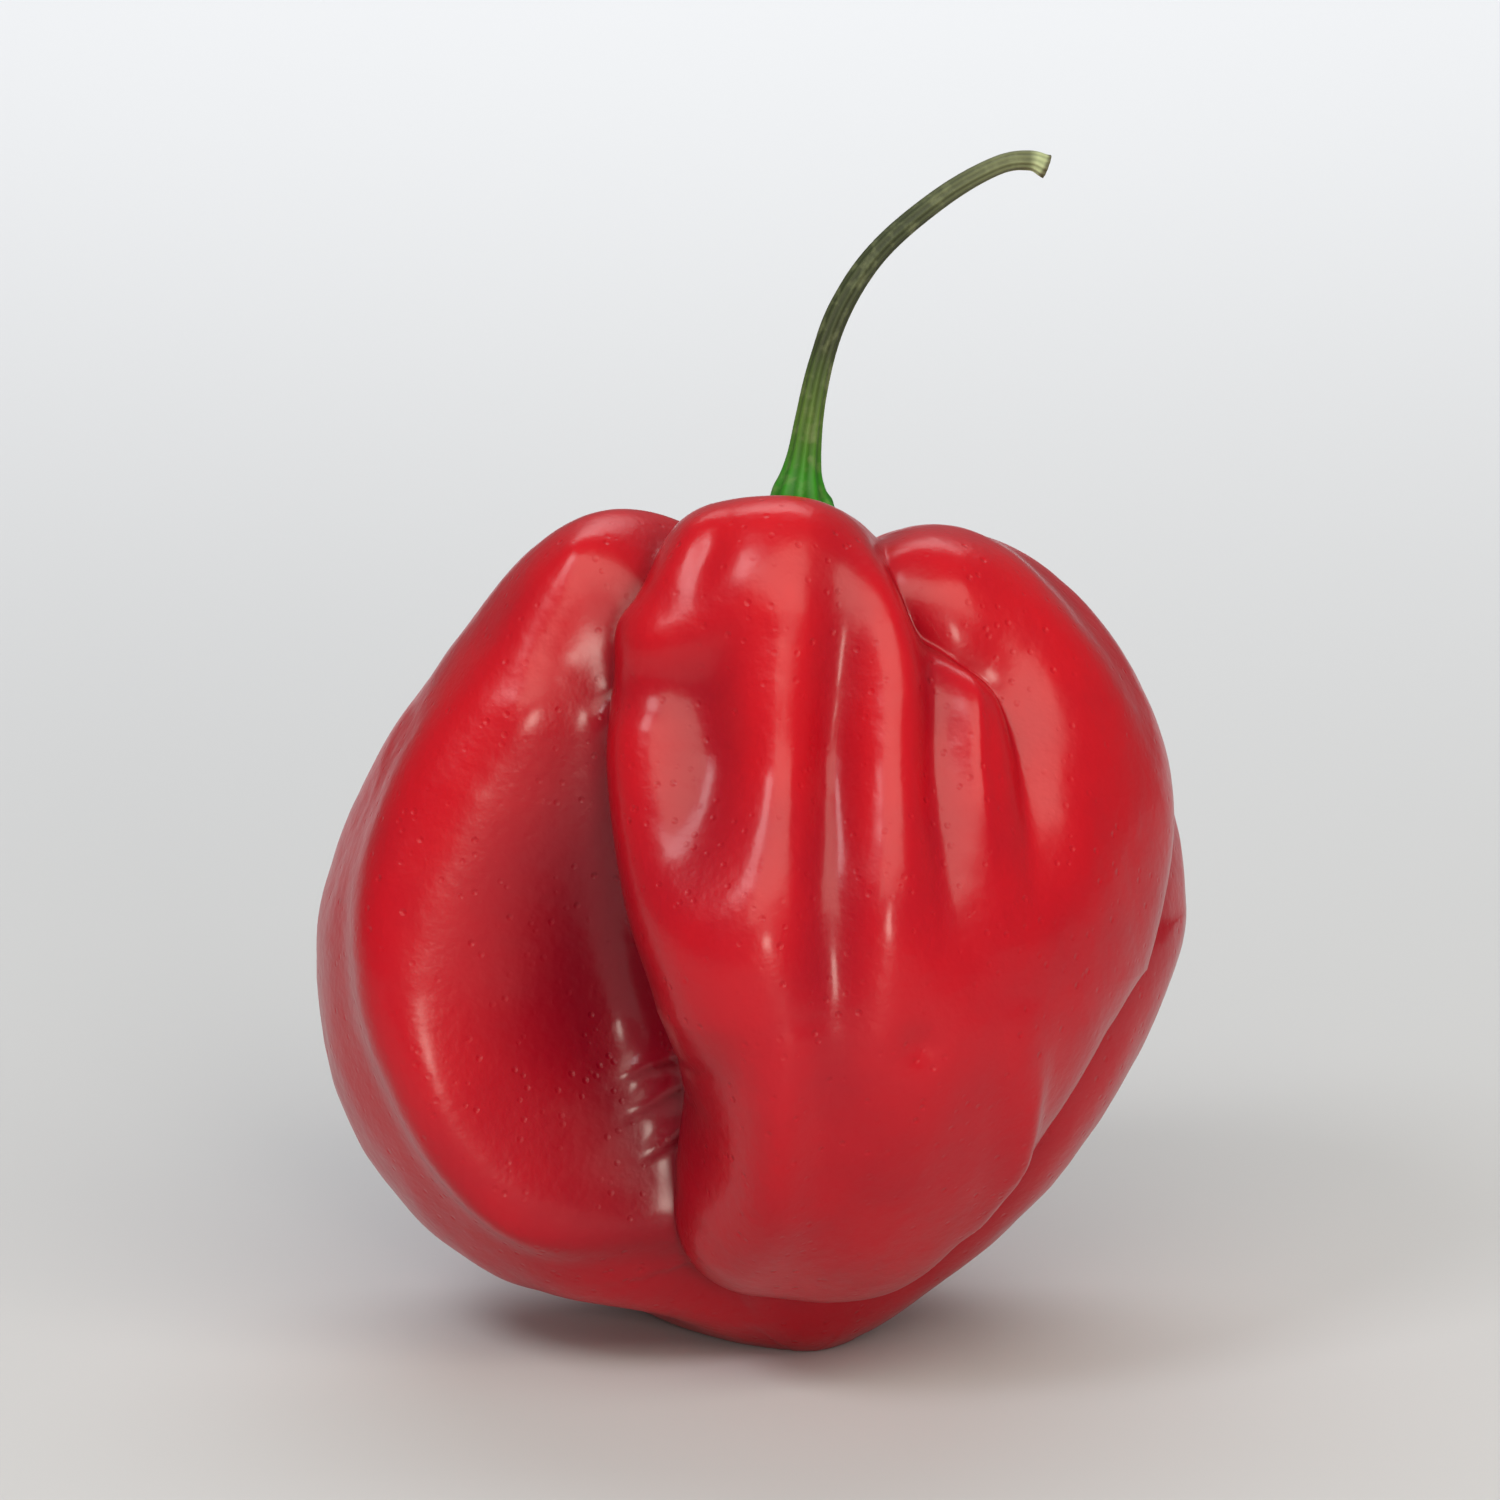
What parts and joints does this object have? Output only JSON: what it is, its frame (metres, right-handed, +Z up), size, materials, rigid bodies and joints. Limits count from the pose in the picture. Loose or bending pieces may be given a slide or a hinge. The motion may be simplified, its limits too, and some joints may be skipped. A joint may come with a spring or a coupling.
{
  "type": "scotch bonnet pepper",
  "caption": "Ripe scotch bonnet pepper standing upright: a squat, lobed and deeply folded pod with a toothed calyx and a thin, curved stem.",
  "frame": {"origin": "on the surface the pepper stands on, under the middle of the pod's bounding box", "axes": "+Z up along the pod towards the stem, -Y the side that faces the viewer in the picture, +X the viewer's right, which the stem bends towards"},
  "size_m": [0.0552, 0.052, 0.0758],
  "materials": {
    "skin": "waxy, softly glossy ripe red skin",
    "stem": "dull green plant stem, brighter at its foot"
  },
  "bodies": {
    "root": {"pod": "skin", "stem": "stem"}
  },
  "joints": []
}
